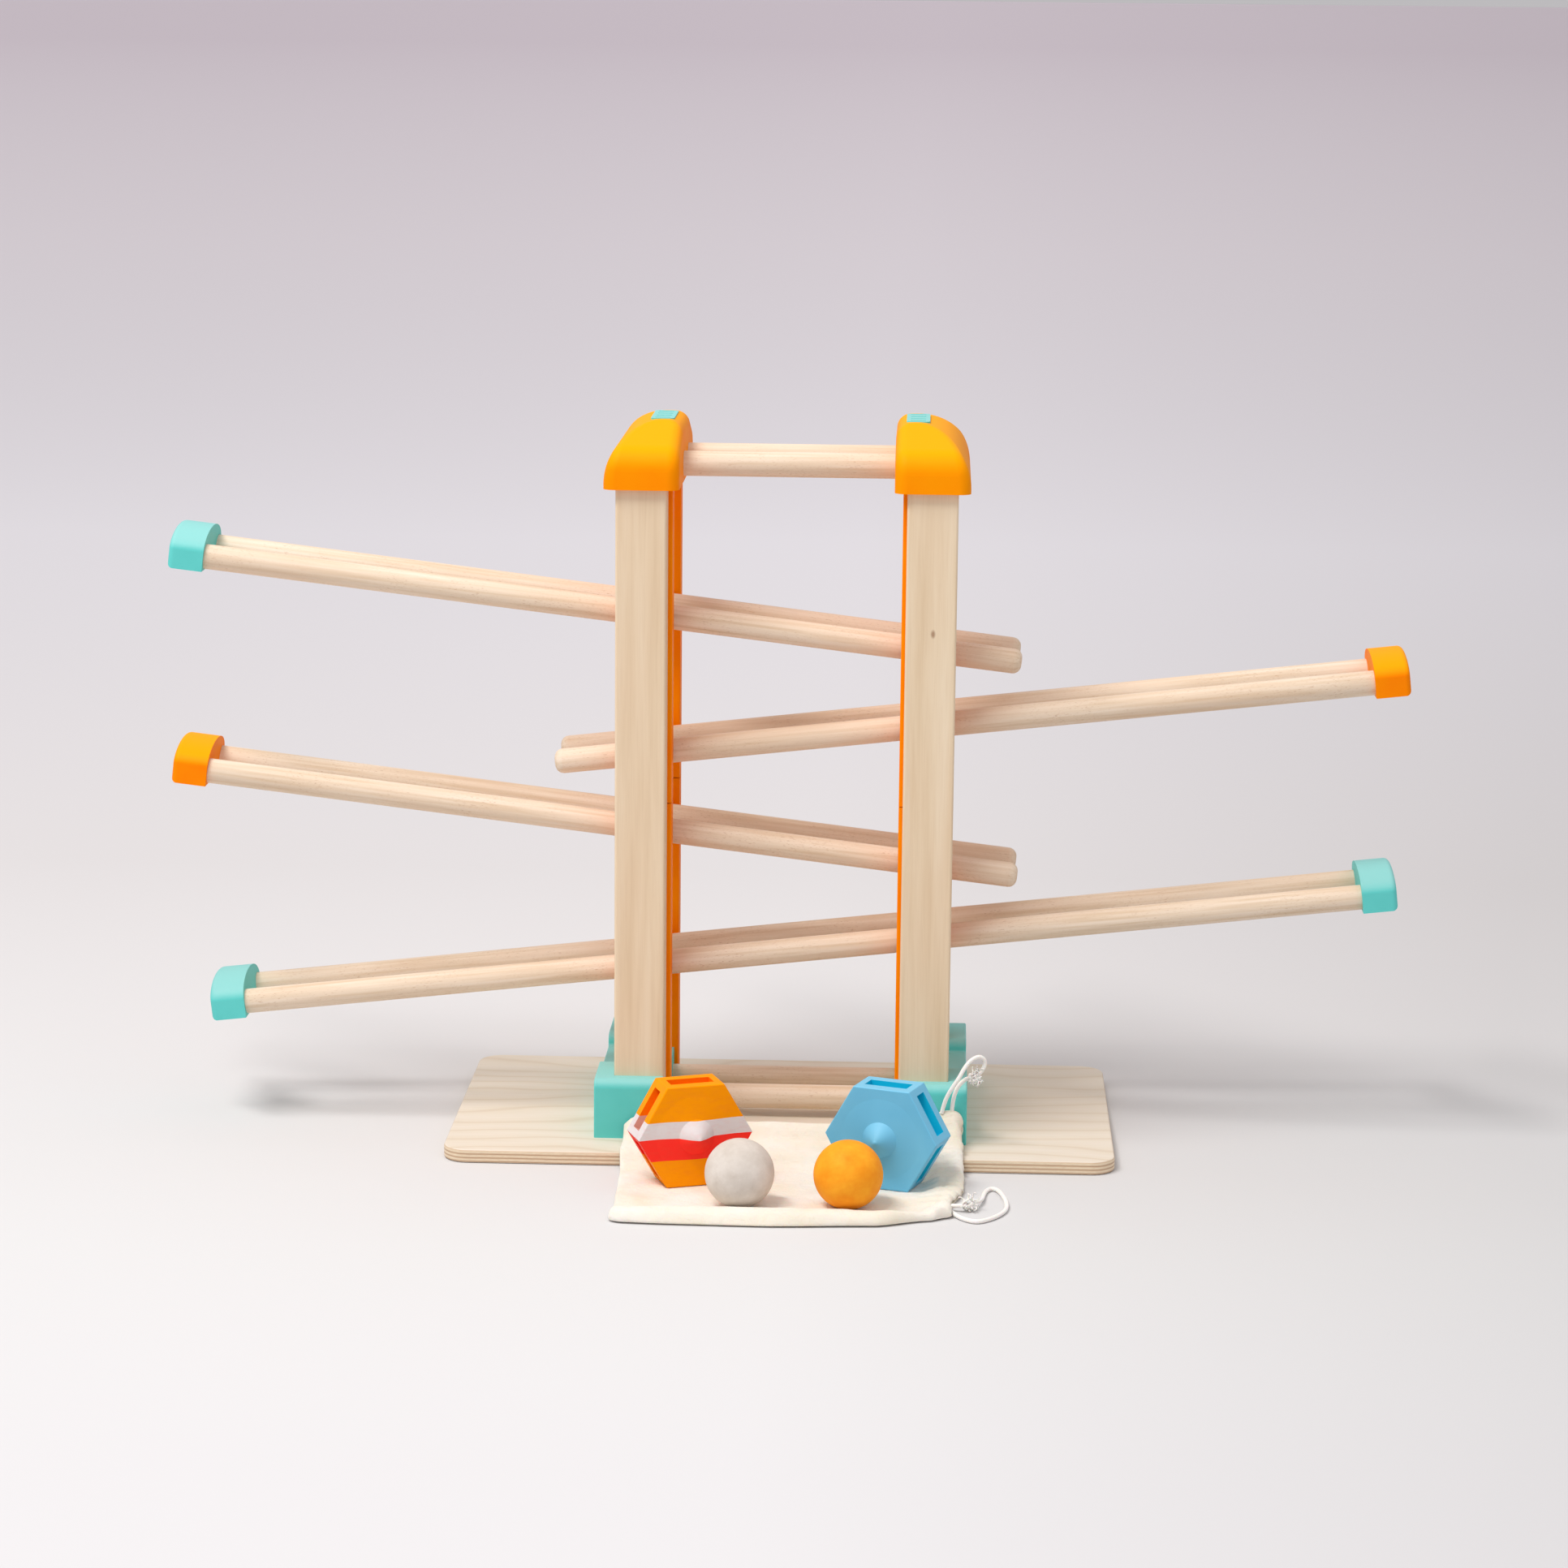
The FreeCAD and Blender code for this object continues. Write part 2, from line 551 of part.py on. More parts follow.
def bag():
    """The empty bag: it lies on the floor, climbs over the plate's front edge and leans on the feet."""
    under = PLATE_THICKNESS + BAG_PLATE_GAP
    plate_front = -PLATE_DEPTH / 2 - 2 * BAG_PLATE_GAP
    back = -FOOT_HALF_DEPTH - BAG_FOOT_GAP
    lower = [(BAG_FRONT_Y, 0), (plate_front, 0), (plate_front, under), (back, under)]
    pieces = []
    for start, top, front_height in ((BAG_LEFT_X, CLOTH_TOP, BAG_THICKNESS),
                                     (BAG_RIGHT_X - BAG_MOUTH_WIDTH, MOUTH_TOP, MOUTH_FRONT_HEIGHT)):
        upper = [(back + y, z) for y, z in top] + [(BAG_FRONT_Y, front_height)]
        pieces.append(prism([(start, y, z) for y, z in lower + upper], (BAG_RIGHT_X - start, 0, 0)))
    corners = BAG_OUTLINE + [(BAG_RIGHT_X, back), (BAG_LEFT_X, back)]
    outline = prism([(x, y, -PAST) for x, y in corners], (0, 0, FOOT_TOP))
    return pieces[0].fuse(pieces[1]).common(outline).removeSplitter()


def tube(name, points, radius):
    """A cord along straight runs joined by tangent arcs; prints the arcs' radii and the length."""
    nodes = [FreeCAD.Vector(*point) for point in points]
    edges = []
    radii = []
    start = nodes[0]
    for before, corner, after in zip(nodes, nodes[1:], nodes[2:]):
        inward = (before - corner).normalize()
        outward = (after - corner).normalize()
        half_turn = (math.pi - inward.getAngle(outward)) / 2
        trim = ARC_SHARE * min((before - corner).Length, (after - corner).Length)
        arc_radius = trim / math.tan(half_turn)
        arc_start = corner + inward * trim
        arc_end = corner + outward * trim
        middle = (inward + outward).normalize()
        centre_distance = arc_radius / math.cos(half_turn)
        arc_middle = corner + middle * (centre_distance - arc_radius)
        edges.append(Part.makeLine(start, arc_start))
        edges.append(Part.Arc(arc_start, arc_middle, arc_end).toShape())
        radii.append(round(arc_radius, 1))
        start = arc_end
    edges.append(Part.makeLine(start, nodes[-1]))
    path = Part.Wire(edges)
    section = Part.Wire(Part.makeCircle(radius, nodes[0], nodes[1] - nodes[0]))
    solid = path.makePipeShell([section], True, True)
    ratio = solid.Volume / (math.pi * radius ** 2 * path.Length)
    print(name, "length", round(path.Length, 1), "radii", radii, "volume ratio", round(ratio, 4))
    return solid


def main():
    export("base_plate", base_plate())
    sides = {"left": -1, "right": 1}
    rows = {"front": -1, "rear": 1}
    for side_name, side in sides.items():
        export("foot_" + side_name, foot(side))
        export("cap_" + side_name, cap(side))
        export("inlay_" + side_name, inlay(side))
        for row_name, row in rows.items():
            export("board_" + row_name + "_" + side_name, board(side, row))
            for level_name, upper in (("lower", False), ("upper", True)):
                export("strip_" + row_name + "_" + side_name + "_" + level_name, strip(side, row, upper))
    for row_name, row in rows.items():
        export("top_bar_" + row_name, cross_bar(row, TOP_BAR_Z, TOP_BAR_LENGTH))
        export("bottom_bar_" + row_name, cross_bar(row, BOTTOM_BAR_Z, BOTTOM_BAR_LENGTH))
        for number in (1, 2, 3):
            export("rail_" + str(number) + "_" + row_name, short_rail(number, row))
        export("rail_4_" + row_name, long_rail(row))
    short_end = SHORT_ROD - SHORT_OVERHANG
    export("end_stop_1", end_stop(1, -1, -short_end, SHORT_SOCKET))
    export("end_stop_2", end_stop(2, 1, short_end, SHORT_SOCKET))
    export("end_stop_3", end_stop(3, -1, -short_end, SHORT_SOCKET))
    export("end_stop_4_low", end_stop(4, -1, LONG_OFFSET - LONG_ROD / 2, LONG_SOCKET))
    export("end_stop_4_high", end_stop(4, 1, LONG_OFFSET + LONG_ROD / 2, LONG_SOCKET))
    export("board_screws", Part.makeCompound(board_screws()))
    export("foot_screws", Part.makeCompound(foot_screws()))
    export("strip_screws", Part.makeCompound(strip_screws()))
    export("ball_grey", ball(GREY_BALL))
    export("ball_orange", ball(ORANGE_BALL))
    export("wheel_striped", cone_wheel(STRIPED_WHEEL, WHEEL_TURN))
    export("wheel_blue", cone_wheel(BLUE_WHEEL, -WHEEL_TURN))
    export("bag", bag())
    export("drawcord_upper", tube("drawcord_upper", UPPER_CORD, CORD_RADIUS))
    export("drawcord_lower", tube("drawcord_lower", LOWER_CORD, CORD_RADIUS))
    export("knot_upper", Part.makeSphere(KNOT_RADIUS, FreeCAD.Vector(*UPPER_KNOT)))
    export("knot_lower", Part.makeSphere(KNOT_RADIUS, FreeCAD.Vector(*LOWER_KNOT)))


main()
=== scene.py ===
import json
import math
import random

import bmesh
import bpy
from mathutils import Matrix, Vector, noise


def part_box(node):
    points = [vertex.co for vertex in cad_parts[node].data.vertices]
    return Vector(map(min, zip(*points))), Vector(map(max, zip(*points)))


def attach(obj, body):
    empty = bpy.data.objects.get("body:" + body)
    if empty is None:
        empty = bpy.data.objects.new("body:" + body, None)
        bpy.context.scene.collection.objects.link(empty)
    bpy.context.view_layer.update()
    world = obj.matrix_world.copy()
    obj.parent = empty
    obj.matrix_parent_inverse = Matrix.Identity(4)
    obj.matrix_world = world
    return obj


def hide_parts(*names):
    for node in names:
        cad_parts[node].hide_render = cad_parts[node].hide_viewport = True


# The marble run's visible surfaces. Metres, +X right, +Y back, +Z up, as in the CAD frame.

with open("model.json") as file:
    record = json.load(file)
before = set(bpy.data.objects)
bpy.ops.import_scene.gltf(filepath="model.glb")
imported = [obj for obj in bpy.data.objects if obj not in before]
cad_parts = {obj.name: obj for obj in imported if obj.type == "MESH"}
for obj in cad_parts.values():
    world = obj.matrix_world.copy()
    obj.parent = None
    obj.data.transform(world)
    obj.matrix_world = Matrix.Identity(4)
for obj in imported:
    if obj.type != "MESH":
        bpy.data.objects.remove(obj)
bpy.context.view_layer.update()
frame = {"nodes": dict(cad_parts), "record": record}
NODES = frame["nodes"]
MM = 0.001
RAIL_SLOPE = math.radians(6.55)
STRIPED_TURN = 20.3
BLUE_TURN = -20.3


def link(thing):
    bpy.context.scene.collection.objects.link(thing)
    return thing


def centre_mm(node_name):
    """The centre of a CAD node, in millimetres, to a tenth."""
    low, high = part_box(node_name)
    return tuple(round((a + b) / 2 / MM, 1) for a, b in zip(low, high))

# ---------------------------------------------------------------- camera

CAMERA_PLACE = (0.0863, -2.4655, 0.6973)
CAMERA_LENS = 94.77
CAMERA_PITCH = math.radians(11.15)
CAMERA_YAW = math.radians(2.06)
CAMERA_ROLL = math.radians(0.58)


def make_camera():
    data = bpy.data.cameras.new("camera")
    data.lens = CAMERA_LENS
    data.sensor_width = 36
    data.clip_end = 400
    camera = link(bpy.data.objects.new("camera", data))
    aim = Matrix.Rotation(CAMERA_YAW, 4, "Z") @ Matrix.Rotation(math.pi / 2 - CAMERA_PITCH, 4, "X")
    camera.matrix_world = Matrix.Translation(CAMERA_PLACE) @ aim @ Matrix.Rotation(CAMERA_ROLL, 4, "Z")
    bpy.context.scene.camera = camera


make_camera()

# ---------------------------------------------------------------- node helpers


def new_material(name):
    """A material with its shader node; returns (material, tree, shader)."""
    material = bpy.data.materials.new(name)
    material.use_nodes = True
    tree = material.node_tree
    return material, tree, tree.nodes["Principled BSDF"]


def add(tree, kind, inputs=None, **settings):
    """A new node; an input is a value, or another node's output socket."""
    node = tree.nodes.new(kind)
    for name, value in settings.items():
        setattr(node, name, value)
    for socket, value in (inputs or {}).items():
        if isinstance(value, bpy.types.NodeSocket):
            tree.links.new(value, node.inputs[socket])
        else:
            node.inputs[socket].default_value = value
    return node


def math_node(tree, operation, first, second=0.0, third=0.0):
    return add(tree, "ShaderNodeMath", {0: first, 1: second, 2: third}, operation=operation).outputs[0]


def vector_math(tree, operation, first, second=(0, 0, 0)):
    node = add(tree, "ShaderNodeVectorMath", {0: first, 1: second}, operation=operation)
    return node.outputs["Value" if operation in ("DOT_PRODUCT", "LENGTH") else "Vector"]


def axis_of(tree, vector, axis):
    return add(tree, "ShaderNodeSeparateXYZ", {0: vector}).outputs[axis]


def plain_place(tree):
    """Object coordinates in metres."""
    return add(tree, "ShaderNodeTexCoord").outputs["Object"]


def placed(tree, turn=(0, 0, 0), scale=(1, 1, 1)):
    """Object coordinates in metres, turned, then scaled."""
    turned = add(tree, "ShaderNodeVectorRotate", {"Vector": plain_place(tree), "Rotation": turn},
                 rotation_type="EULER_XYZ").outputs[0]
    return add(tree, "ShaderNodeMapping", {"Vector": turned, "Scale": scale}).outputs[0]


def noise_at(tree, vector, scale, detail=3.0, rough=0.5, seed=0.0, distortion=0.0):
    values = {"Vector": vector, "W": seed, "Scale": scale, "Detail": detail, "Roughness": rough,
              "Distortion": distortion}
    return add(tree, "ShaderNodeTexNoise", values, noise_dimensions="4D").outputs["Fac"]


def ramp(tree, factor, stops, interpolation="LINEAR"):
    """A colour ramp; stops are (position, colour)."""
    node = add(tree, "ShaderNodeValToRGB", {"Fac": factor})
    node.color_ramp.interpolation = interpolation
    elements = node.color_ramp.elements
    while len(elements) < len(stops):
        elements.new(0.5)
    for element, (position, colour) in zip(elements, stops):
        element.position = position
        element.color = colour
    return node.outputs["Color"]


def mix(tree, factor, first, second, blend="MIX"):
    node = add(tree, "ShaderNodeMix", data_type="RGBA", blend_type=blend)
    for socket, value in ((0, factor), (6, first), (7, second)):
        if isinstance(value, bpy.types.NodeSocket):
            tree.links.new(value, node.inputs[socket])
        else:
            node.inputs[socket].default_value = value
    return node.outputs[2]


def map_range(tree, value, low, high, out_low=0.0, out_high=1.0):
    inputs = {"Value": value, "From Min": low, "From Max": high, "To Min": out_low, "To Max": out_high}
    return add(tree, "ShaderNodeMapRange", inputs).outputs["Result"]


def bump(tree, shader, height, distance, strength=1.0, below=None):
    inputs = {"Height": height, "Distance": distance, "Strength": strength}
    if below is not None:
        inputs["Normal"] = below
    normal = add(tree, "ShaderNodeBump", inputs).outputs["Normal"]
    tree.links.new(normal, shader.inputs["Normal"])
    return normal


def colour(red, green, blue):
    """A linear colour from the 0 to 255 values that a screen shows."""
    def linear(value):
        share = value / 255
        return share / 12.92 if share <= 0.04045 else ((share + 0.055) / 1.055) ** 2.4
    return (linear(red), linear(green), linear(blue), 1.0)


def object_seed(tree, spread=40.0):
    """A different number for each object that shares a material."""
    random_value = add(tree, "ShaderNodeObjectInfo").outputs["Random"]
    return math_node(tree, "MULTIPLY", random_value, spread)


def set_shader(shader, **values):
    for name, value in values.items():
        shader.inputs[name.replace("_", " ")].default_value = value


def dress(node_name, material):
    node = NODES[node_name]
    node.data.materials.clear()
    node.data.materials.append(material)


# ---------------------------------------------------------------- materials

PIN_KNOT = (0.0868, -0.0680, 0.3155)
PIN_KNOT_CORE = 0.0006
PIN_KNOT_RADIUS = 0.0017
PLY_THICKNESS = 0.008 / 7
PRINT_LAYER = 0.0005
SLOT_HALF_WIDTH = 0.0054
SLOT_REACH = 0.0326
SLOT_BLUR = 0.0001
BANDS_TOP = 0.0646
COTTON_THREAD = 0.0006


def board_wood():
    """Pale planed wood with fine straight grain up the boards and one pin knot."""
    material, tree, shader = new_material("board_wood")
    seed = object_seed(tree)
    fine = noise_at(tree, placed(tree, scale=(1, 1, 0.018)), 1500, 2, 0.6, seed)
    bands = noise_at(tree, placed(tree, scale=(1, 1, 0.05)), 130, 4, 0.55, seed, 0.3)
    patches = noise_at(tree, placed(tree, scale=(1, 1, 0.3)), 16, 2, 0.5, seed)
    base = ramp(tree, bands, [(0.3, colour(222, 197, 163)), (0.52, colour(232, 210, 179)),
                              (0.72, colour(238, 219, 191))])
    grain = ramp(tree, fine, [(0.34, colour(196, 168, 134)), (0.5, colour(255, 255, 255))])
    lined = mix(tree, 0.08, base, grain, "MULTIPLY")
    tinted = mix(tree, map_range(tree, patches, 0.4, 0.7, 0.0, 0.25), lined, colour(226, 190, 158))
    knot_offset = vector_math(tree, "SUBTRACT", plain_place(tree), PIN_KNOT)
    knot_oval = vector_math(tree, "MULTIPLY", knot_offset, (1, 1, 0.55))
    knot_distance = vector_math(tree, "LENGTH", knot_oval)
    knot = map_range(tree, knot_distance, PIN_KNOT_CORE, PIN_KNOT_RADIUS, 0.75, 0.0)
    final = mix(tree, knot, tinted, colour(150, 108, 78))
    tree.links.new(final, shader.inputs["Base Color"])
    set_shader(shader, Roughness=0.62, Specular_IOR_Level=0.3)
    bump(tree, shader, fine, 0.0001, 0.3)
    return material


def dowel_wood(name, slope):
    """Sanded beech: pinkish cream with short darker flecks and a few knots along the grain."""
    material, tree, shader = new_material(name)
    seed = object_seed(tree)
    along = (0, -slope, 0)
    streaks = noise_at(tree, placed(tree, along, (0.03, 1, 1)), 420, 3, 0.55, seed, 0.2)
    tone = noise_at(tree, placed(tree, along, (0.25, 1, 1)), 34, 3, 0.5, seed)
    flecks = noise_at(tree, placed(tree, along, (0.2, 1, 1)), 2400, 1, 0.5, seed)
    fleck_patch = noise_at(tree, placed(tree, along, (0.5, 1, 1)), 60, 2, 0.5, seed)
    base = ramp(tree, streaks, [(0.3, colour(216, 190, 160)), (0.5, colour(229, 208, 184)),
                                (0.7, colour(237, 219, 199))])
    toned = mix(tree, map_range(tree, tone, 0.42, 0.68, 0.0, 0.4), base, colour(222, 190, 160))
    fleck_mask = math_node(tree, "MULTIPLY", map_range(tree, flecks, 0.6, 0.72),
                           map_range(tree, fleck_patch, 0.4, 0.6, 0.1, 0.6))
    flecked = mix(tree, fleck_mask, toned, colour(186, 146, 112))
    spot_inputs = {"Vector": placed(tree, along, (0.42, 1, 1)), "Scale": 62.0, "W": seed}
    spots = add(tree, "ShaderNodeTexVoronoi", spot_inputs, voronoi_dimensions="4D").outputs["Distance"]
    final = mix(tree, map_range(tree, spots, 0.04, 0.09, 0.5, 0.0), flecked, colour(168, 118, 86))
    tree.links.new(final, shader.inputs["Base Color"])
    set_shader(shader, Roughness=0.55, Specular_IOR_Level=0.35)
    bump(tree, shader, streaks, 0.0001, 0.4)
    return material


def plywood():
    """Birch plywood: a flamed veneer on the faces, and its glued layers on the edges."""
    material, tree, shader = new_material("plywood")
    warp = noise_at(tree, placed(tree, scale=(0.5, 1, 1)), 9, 2, 0.5)
    growth = math_node(tree, "MULTIPLY_ADD", warp, 0.11, axis_of(tree, plain_place(tree), "Y"))
    ring = math_node(tree, "PINGPONG", math_node(tree, "MULTIPLY", growth, 95.0), 1.0)
    fine = noise_at(tree, placed(tree, scale=(0.03, 1, 1)), 900, 3, 0.6)
    face = ramp(tree, ring, [(0.0, colour(230, 219, 204)), (0.75, colour(227, 215, 197)),
                             (1.0, colour(217, 201, 179))])
    face = mix(tree, map_range(tree, fine, 0.45, 0.75, 0.0, 0.3), face, colour(214, 196, 170))
    patches = noise_at(tree, placed(tree, scale=(0.6, 1, 1)), 5, 3, 0.5)
    face = mix(tree, map_range(tree, patches, 0.42, 0.7, 0.0, 0.35), face, colour(220, 202, 180))
    layer = math_node(tree, "MULTIPLY", axis_of(tree, plain_place(tree), "Z"), 1 / PLY_THICKNESS)
    wave = noise_at(tree, placed(tree), 40, 3, 0.6)
    layer = math_node(tree, "MULTIPLY_ADD", wave, 0.5, layer)
    even = math_node(tree, "PINGPONG", layer, 1.0)
    edge_grain = noise_at(tree, placed(tree, scale=(0.2, 0.2, 1)), 1400, 2, 0.6)
    edge = ramp(tree, even, [(0.0, colour(240, 224, 196)), (0.5, colour(228, 204, 172)),
                             (0.86, colour(200, 168, 138)), (1.0, colour(160, 126, 102))])
    edge = mix(tree, map_range(tree, edge_grain, 0.4, 0.8, 0.0, 0.35), edge, colour(196, 162, 130))
    normal = add(tree, "ShaderNodeNewGeometry").outputs["Normal"]
    up = math_node(tree, "ABSOLUTE", axis_of(tree, normal, "Z"))
    final = mix(tree, map_range(tree, up, 0.55, 0.75), edge, face)
    tree.links.new(final, shader.inputs["Base Color"])
    set_shader(shader, Roughness=0.5, Specular_IOR_Level=0.4)
    bump(tree, shader, fine, 0.00008, 0.4)
    return material


def slot_mask(tree, wheel, turn):
    """1 on the floors and walls of a wheel's slots, 0 elsewhere; it places the painted shade in the slots.
    """
    centre = [value * MM for value in centre_mm(wheel)]
    axis = (math.sin(math.radians(turn)), -math.cos(math.radians(turn)), 0)
    offset = vector_math(tree, "SUBTRACT", plain_place(tree), centre)
    along_axis = vector_math(tree, "DOT_PRODUCT", offset, axis)
    length = vector_math(tree, "LENGTH", offset)
    square = math_node(tree, "SUBTRACT", math_node(tree, "MULTIPLY", length, length),
                       math_node(tree, "MULTIPLY", along_axis, along_axis))
    radius = math_node(tree, "SQRT", square)
    between_walls = map_range(tree, math_node(tree, "ABSOLUTE", along_axis),
                              SLOT_HALF_WIDTH + SLOT_BLUR, SLOT_HALF_WIDTH - SLOT_BLUR)
    between_ends = map_range(tree, radius, SLOT_REACH + SLOT_BLUR, SLOT_REACH - SLOT_BLUR)
    return math_node(tree, "MULTIPLY", between_walls, between_ends)


def printed_plastic(name, light, deep, top, gloss, painted_slot_shade=None):
    """Matte printed plastic: faint layers, a grainy skin, a slight drift in tone, paler tops from a painted
    highlight on upward faces, and, with a slot shade colour, painted shade in the blue wheel's slots.
    """
    material, tree, shader = new_material(name)
    drift = noise_at(tree, placed(tree), 22, 3, 0.55)
    grain = noise_at(tree, placed(tree), 1800, 2, 0.6)
    height = axis_of(tree, plain_place(tree), "Z")
    layers = math_node(tree, "SINE", math_node(tree, "MULTIPLY", height, 2 * math.pi / PRINT_LAYER))
    base = mix(tree, map_range(tree, drift, 0.3, 0.7), light, deep)
    # Painted highlight: faces that turn upward are mixed toward the paler top colour, as if lit from above.
    normal = add(tree, "ShaderNodeNewGeometry").outputs["Normal"]
    upward = axis_of(tree, normal, "Z")
    base = mix(tree, map_range(tree, upward, 0.15, 0.8), base, top)
    speckled = mix(tree, map_range(tree, grain, 0.55, 0.8, 0.0, 0.12), base, deep)
    lined = mix(tree, map_range(tree, layers, -1.0, 1.0, 0.0, 0.04), speckled, deep)
    set_shader(shader, Roughness=0.5, Specular_IOR_Level=gloss)
    # Painted shade: the blue wheel's slot floors and walls take a darker, deeper blue, as shade in the
    # recesses.
    if painted_slot_shade:
        lined = mix(tree, slot_mask(tree, "wheel_blue", BLUE_TURN), lined, painted_slot_shade)
    tree.links.new(lined, shader.inputs["Base Color"])
    bump(tree, shader, math_node(tree, "MULTIPLY_ADD", layers, 0.12, grain), 0.00004, 0.5)
    return material


def striped_plastic():
    """The wheel's bands by height: orange, white, red and orange again, with wavy edges, a random mottle
    and painted shade in its slots.
    """
    material, tree, shader = new_material("striped_plastic")
    wave = noise_at(tree, placed(tree), 28, 1, 0.4, 3.0)
    level = math_node(tree, "MULTIPLY_ADD", wave, 0.0016, axis_of(tree, plain_place(tree), "Z"))
    orange, white, red = colour(255, 154, 0), colour(224, 216, 216), colour(255, 52, 42)
    share = map_range(tree, level, 0.0, BANDS_TOP)
    bands = ramp(tree, share, [(0.0, orange), (0.30, red), (0.505, white), (0.66, orange)], "CONSTANT")
    grain = noise_at(tree, placed(tree, scale=(1, 1, 4)), 900, 3, 0.6)
    mottle = noise_at(tree, placed(tree, scale=(0.6, 0.6, 1.6)), 240, 3, 0.6)
    mottle_and_painted_slot_shade = mix(tree, map_range(tree, mottle, 0.45, 0.8, 0.0, 0.16), bands, colour(225, 90, 60))
    # Painted shade: the slots' floors and walls are darkened and reddened, as shade in the recesses.
    slots = math_node(tree, "MULTIPLY", slot_mask(tree, "wheel_striped", STRIPED_TURN), 0.6)
    mottle_and_painted_slot_shade = mix(tree, slots, mottle_and_painted_slot_shade, mix(tree, 1.0, mottle_and_painted_slot_shade, colour(244, 160, 120), "MULTIPLY"))
    tree.links.new(mottle_and_painted_slot_shade, shader.inputs["Base Color"])
    set_shader(shader, Roughness=0.52, Specular_IOR_Level=0.06, Subsurface_Weight=0.05,
               Subsurface_Scale=0.002)
    bump(tree, shader, grain, 0.00008, 0.6)
    return material


def painted_ball(name, light, deep):
    """A painted wooden ball with a little of the grain showing through."""
    material, tree, shader = new_material(name)
    grain = noise_at(tree, placed(tree, (0.5, 0.3, 0), (0.15, 1, 1)), 420, 3, 0.6, 0.0, 0.4)
    mottle = noise_at(tree, placed(tree), 90, 4, 0.6)
    base = mix(tree, map_range(tree, mottle, 0.35, 0.7), light, deep)
    streaked = mix(tree, map_range(tree, grain, 0.5, 0.8, 0.0, 0.35), base, deep)
    tree.links.new(streaked, shader.inputs["Base Color"])
    set_shader(shader, Roughness=0.6, Specular_IOR_Level=0.15)
    bump(tree, shader, grain, 0.00012, 0.6)
    return material


def screw_steel():
    """Zinc-plated steel with fine turning marks."""
    material, tree, shader = new_material("screw_steel")
    marks = noise_at(tree, placed(tree, scale=(1, 1, 0.1)), 2400, 2, 0.5)
    base = mix(tree, marks, colour(196, 197, 200), colour(160, 162, 166))
    tree.links.new(base, shader.inputs["Base Color"])
    set_shader(shader, Roughness=0.32, Metallic=1.0)
    bump(tree, shader, marks, 0.00004, 0.5)
    return material


def thread_wave(tree, wobble, place):
    """A wave that rises once for each thread across place, slightly bent."""
    bent = math_node(tree, "MULTIPLY_ADD", wobble, COTTON_THREAD * 1.2, place)
    return math_node(tree, "SINE", math_node(tree, "MULTIPLY", bent, 2 * math.pi / COTTON_THREAD))


def bag_cotton():
    """Plain-woven cotton: crossing threads, slubs, fine creases and a soft sheen."""
    material, tree, shader = new_material("bag_cotton")
    light, deep = colour(247, 241, 232), colour(236, 225, 203)
    wobble = noise_at(tree, placed(tree), 300, 2, 0.5, 2.0)
    across, depth, height = (axis_of(tree, plain_place(tree), axis) for axis in "XYZ")
    weave = math_node(tree, "MULTIPLY", thread_wave(tree, wobble, across),
                      thread_wave(tree, wobble, math_node(tree, "ADD", depth, height)))
    slubs = noise_at(tree, placed(tree, scale=(0.12, 1, 1)), 700, 2, 0.5, 5.0)
    blotches = noise_at(tree, placed(tree), 24, 3, 0.5)
    base = mix(tree, map_range(tree, blotches, 0.35, 0.7), light, deep)
    threaded = mix(tree, map_range(tree, weave, -1.0, 1.0, 0.0, 0.12), base, deep)
    flecked = mix(tree, map_range(tree, slubs, 0.62, 0.8, 0.0, 0.3), threaded, colour(214, 192, 156))
    tree.links.new(flecked, shader.inputs["Base Color"])
    set_shader(shader, Roughness=0.9, Specular_IOR_Level=0.15, Sheen_Weight=0.3,
               Subsurface_Weight=0.12, Subsurface_Scale=0.003)
    creases = noise_at(tree, placed(tree), 130, 4, 0.6, 7.0, 0.6)
    rough = bump(tree, shader, creases, 0.0016, 0.7)
    bump(tree, shader, math_node(tree, "MULTIPLY_ADD", weave, 0.3, slubs), 0.0002, 0.6, rough)
    return material


def cord_cotton(name, relief):
    """Soft white cotton cord: a twisted lay and loose fuzz."""
    material, tree, shader = new_material(name)
    fuzz = noise_at(tree, placed(tree), 1600, 3, 0.6)
    strands = noise_at(tree, placed(tree, (0.4, 0.5, 0.3), (0.3, 1, 1)), 1100, 1, 0.5)
    base = mix(tree, fuzz, colour(254, 251, 247), colour(242, 235, 228))
    tree.links.new(base, shader.inputs["Base Color"])
    set_shader(shader, Roughness=0.95, Specular_IOR_Level=0.1, Sheen_Weight=0.4,
               Subsurface_Weight=0.15, Subsurface_Scale=0.002)
    bump(tree, shader, math_node(tree, "MULTIPLY_ADD", strands, 1.0, fuzz), 0.0002, relief)
    return material


